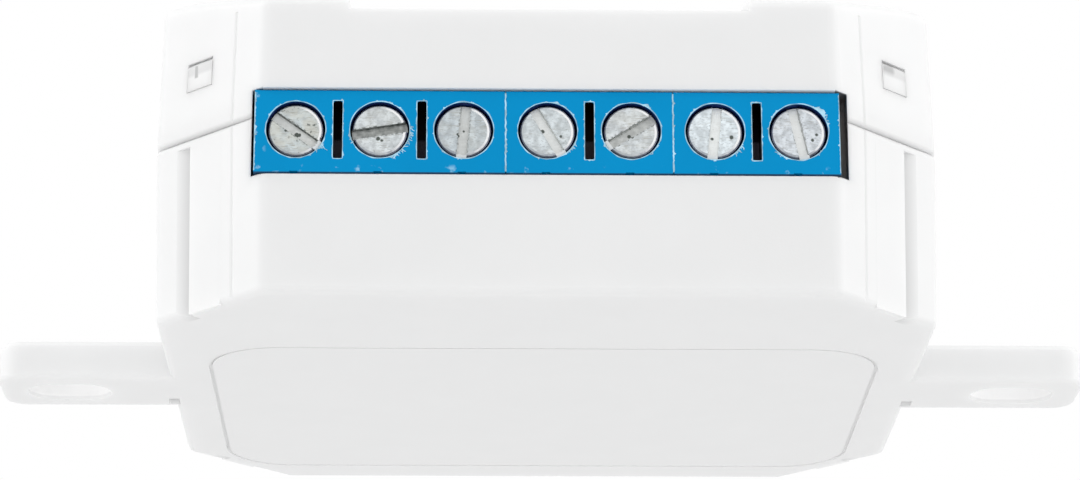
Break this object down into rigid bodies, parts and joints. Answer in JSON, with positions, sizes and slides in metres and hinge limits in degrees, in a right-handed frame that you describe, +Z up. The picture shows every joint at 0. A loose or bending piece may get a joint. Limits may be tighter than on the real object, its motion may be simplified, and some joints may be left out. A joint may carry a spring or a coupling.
{
  "type": "in-wall switch",
  "caption": "Flush-mount relay switch module: octagonal white case split at mid height, blue screw terminal strip in its front, slotted mounting ears at the sides, pairing button on the roof.",
  "frame": {"origin": "centre of the underside, in the plane of the mounting ears' lower faces", "axes": "+X to the right along the terminal strip and the ears, +Y from the terminals to the rear, +Z up from the underside to the roof"},
  "size_m": [0.0702, 0.0436, 0.0213],
  "materials": {
    "case_white": "fine satin moulded surface",
    "button_white": "satin",
    "clear_plastic": "clear, polished",
    "terminal_blue": "semi-gloss moulded nylon",
    "screw_zinc": "zinc plated, slightly stained",
    "cage_zinc": "zinc plated",
    "tinned_brass": "tin plated",
    "board_green": "solder mask",
    "relay_black": "satin",
    "coil_copper": "enamelled wire",
    "magnet_iron": "nickel plated",
    "spring_bronze": "rolled strip",
    "ferrite": "sintered",
    "tape_yellow": "polyester tape",
    "bobbin_black": "moulded",
    "can_black": "shrink sleeve",
    "disc_blue": "dipped epoxy",
    "fuse_brown": "sleeved",
    "chip_black": "moulded epoxy",
    "shield_tin": "tinned",
    "lamp_white": "moulded"
  },
  "bodies": {
    "housing": {"antenna": "tinned_brass", "blank_label": "case_white", "bulk_capacitor": "can_black", "chip_parts": "chip_black", "crystal": "shield_tin", "fuse": "fuse_brown", "header_pins": "tinned_brass", "light_pipe": "clear_plastic", "lower_shell": "case_white", "main_board": "board_green", "output_capacitor": "can_black", "radio_board": "board_green", "radio_chip": "chip_black", "relay_1_base": "relay_black", "relay_1_case": "relay_black", "relay_1_coil": "coil_copper", "relay_1_fixed_contacts": "spring_bronze", "relay_1_pins": "tinned_brass", "relay_1_yoke": "magnet_iron", "relay_2_base": "relay_black", "relay_2_case": "relay_black", "relay_2_coil": "coil_copper", "relay_2_fixed_contacts": "spring_bronze", "relay_2_pins": "tinned_brass", "relay_2_yoke": "magnet_iron", "shield_can": "shield_tin", "status_led": "lamp_white", "switch_body": "chip_black", "terminal_block_left": "terminal_blue", "terminal_block_middle": "terminal_blue", "terminal_block_right": "terminal_blue", "terminal_contacts_left": "tinned_brass", "terminal_contacts_middle": "tinned_brass", "terminal_contacts_right": "tinned_brass", "transformer_bobbin": "bobbin_black", "transformer_core": "ferrite", "transformer_winding": "tape_yellow", "upper_cover": "case_white", "varistor": "disc_blue"},
    "pairing_button": {"pairing_button": "button_white"},
    "switch_plunger": {"switch_plunger": "bobbin_black"},
    "screw_1": {"terminal_screw_1": "screw_zinc"},
    "clamp_1": {"clamp_cage_1": "cage_zinc"},
    "screw_2": {"terminal_screw_2": "screw_zinc"},
    "clamp_2": {"clamp_cage_2": "cage_zinc"},
    "screw_3": {"terminal_screw_3": "screw_zinc"},
    "clamp_3": {"clamp_cage_3": "cage_zinc"},
    "screw_4": {"terminal_screw_4": "screw_zinc"},
    "clamp_4": {"clamp_cage_4": "cage_zinc"},
    "screw_5": {"terminal_screw_5": "screw_zinc"},
    "clamp_5": {"clamp_cage_5": "cage_zinc"},
    "screw_6": {"terminal_screw_6": "screw_zinc"},
    "clamp_6": {"clamp_cage_6": "cage_zinc"},
    "screw_7": {"terminal_screw_7": "screw_zinc"},
    "clamp_7": {"clamp_cage_7": "cage_zinc"},
    "armature_1": {"relay_1_armature": "magnet_iron", "relay_1_contact_spring": "spring_bronze"},
    "armature_2": {"relay_2_armature": "magnet_iron", "relay_2_contact_spring": "spring_bronze"}
  },
  "joints": [
    {"name": "screw_1_turn", "type": "hinge", "parent": "housing", "child": "screw_1", "pos_m": [-0.01537, -0.021, 0.0104], "axis": [0, 1, 0], "range_deg": [0, 1800]},
    {"name": "clamp_1_slide", "type": "slide", "parent": "housing", "child": "clamp_1", "axis": [0, -1, 0], "range_m": [0, 0.0025]},
    {"name": "screw_2_turn", "type": "hinge", "parent": "housing", "child": "screw_2", "pos_m": [-0.01029, -0.021, 0.0104], "axis": [0, 1, 0], "range_deg": [0, 1800]},
    {"name": "clamp_2_slide", "type": "slide", "parent": "housing", "child": "clamp_2", "axis": [0, -1, 0], "range_m": [0, 0.0025]},
    {"name": "screw_3_turn", "type": "hinge", "parent": "housing", "child": "screw_3", "pos_m": [-0.00521, -0.021, 0.0104], "axis": [0, 1, 0], "range_deg": [0, 1800]},
    {"name": "clamp_3_slide", "type": "slide", "parent": "housing", "child": "clamp_3", "axis": [0, -1, 0], "range_m": [0, 0.0025]},
    {"name": "screw_4_turn", "type": "hinge", "parent": "housing", "child": "screw_4", "pos_m": [-0.00013, -0.021, 0.0104], "axis": [0, 1, 0], "range_deg": [0, 1800]},
    {"name": "clamp_4_slide", "type": "slide", "parent": "housing", "child": "clamp_4", "axis": [0, -1, 0], "range_m": [0, 0.0025]},
    {"name": "screw_5_turn", "type": "hinge", "parent": "housing", "child": "screw_5", "pos_m": [0.00496, -0.021, 0.0104], "axis": [0, 1, 0], "range_deg": [0, 1800]},
    {"name": "clamp_5_slide", "type": "slide", "parent": "housing", "child": "clamp_5", "axis": [0, -1, 0], "range_m": [0, 0.0025]},
    {"name": "screw_6_turn", "type": "hinge", "parent": "housing", "child": "screw_6", "pos_m": [0.01004, -0.021, 0.0104], "axis": [0, 1, 0], "range_deg": [0, 1800]},
    {"name": "clamp_6_slide", "type": "slide", "parent": "housing", "child": "clamp_6", "axis": [0, -1, 0], "range_m": [0, 0.0025]},
    {"name": "screw_7_turn", "type": "hinge", "parent": "housing", "child": "screw_7", "pos_m": [0.01511, -0.021, 0.0104], "axis": [0, 1, 0], "range_deg": [0, 1800]},
    {"name": "clamp_7_slide", "type": "slide", "parent": "housing", "child": "clamp_7", "axis": [0, -1, 0], "range_m": [0, 0.0025]},
    {"name": "button_press", "type": "slide", "parent": "housing", "child": "pairing_button", "axis": [0, 0, -1], "range_m": [0, 0.0003], "stiffness_N_per_m": 2000, "springref_m": -0.0002},
    {"name": "plunger_press", "type": "slide", "parent": "housing", "child": "switch_plunger", "axis": [0, 0, -1], "range_m": [0, 0.0003]},
    {"name": "armature_1_tilt", "type": "hinge", "parent": "housing", "child": "armature_1", "pos_m": [-0.0163, 0.00395, 0.01565], "axis": [-1, 0, 0], "range_deg": [0, 2.8], "stiffness_Nm_per_rad": 0.02, "springref_deg": -2.86},
    {"name": "armature_2_tilt", "type": "hinge", "parent": "housing", "child": "armature_2", "pos_m": [-0.0056, 0.00395, 0.01565], "axis": [-1, 0, 0], "range_deg": [0, 2.8], "stiffness_Nm_per_rad": 0.02, "springref_deg": -2.86}
  ],
  "couplings": [
    {"joint": "screw_1_turn", "follows": "clamp_1_slide", "rad_per_m": 12560},
    {"joint": "screw_2_turn", "follows": "clamp_2_slide", "rad_per_m": 12560},
    {"joint": "screw_3_turn", "follows": "clamp_3_slide", "rad_per_m": 12560},
    {"joint": "screw_4_turn", "follows": "clamp_4_slide", "rad_per_m": 12560},
    {"joint": "screw_5_turn", "follows": "clamp_5_slide", "rad_per_m": 12560},
    {"joint": "screw_6_turn", "follows": "clamp_6_slide", "rad_per_m": 12560},
    {"joint": "screw_7_turn", "follows": "clamp_7_slide", "rad_per_m": 12560},
    {"joint": "plunger_press", "follows": "button_press", "ratio": 1}
  ]
}
